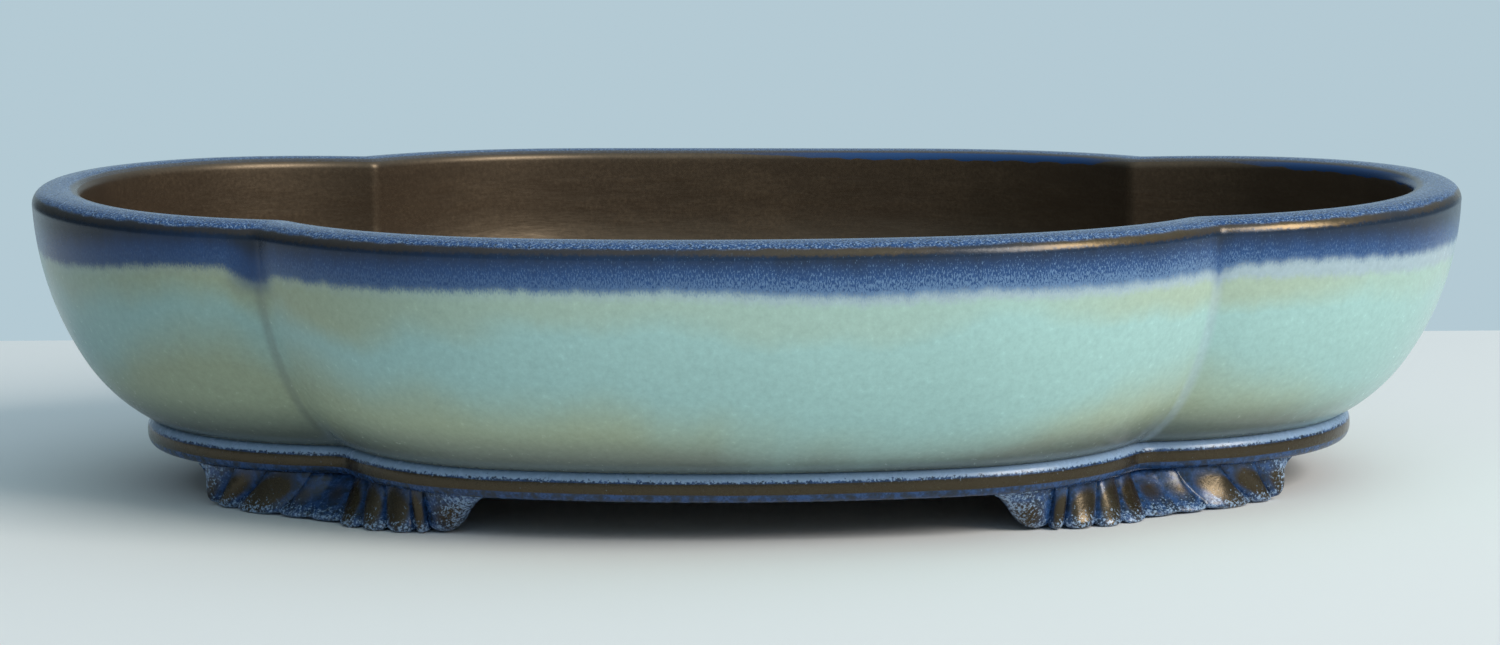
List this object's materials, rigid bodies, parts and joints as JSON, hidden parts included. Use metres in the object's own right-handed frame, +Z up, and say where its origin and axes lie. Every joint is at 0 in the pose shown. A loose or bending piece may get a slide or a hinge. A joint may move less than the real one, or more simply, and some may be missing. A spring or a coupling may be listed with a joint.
{
  "type": "bonsai pot",
  "caption": "Shallow oval stoneware tray with lobed outline, thick rounded lip, belt, bracket feet and pierced floor.",
  "frame": {"origin": "on the resting surface, under the middle of the tray", "axes": "+X along the tray's length towards its right-hand end lobe, -Y towards its front, +Z up"},
  "size_m": [0.3998, 0.288, 0.08],
  "materials": {
    "celadon_glaze": "gloss",
    "cobalt_glaze": "gloss",
    "bronze_glaze": "gloss",
    "bare_stoneware": "satin"
  },
  "bodies": {
    "root": {"floor_slab": "bare_stoneware", "wall_front": "celadon_glaze", "wall_back": "celadon_glaze", "wall_left": "celadon_glaze", "wall_right": "celadon_glaze", "lip_front": "cobalt_glaze", "lip_back": "cobalt_glaze", "lip_left": "cobalt_glaze", "lip_right": "cobalt_glaze", "belt_front": "bronze_glaze", "belt_back": "bronze_glaze", "belt_left": "bronze_glaze", "belt_right": "bronze_glaze", "foot_front_left": "bronze_glaze", "foot_front_right": "bronze_glaze", "foot_back_left": "bronze_glaze", "foot_back_right": "bronze_glaze"}
  },
  "joints": []
}
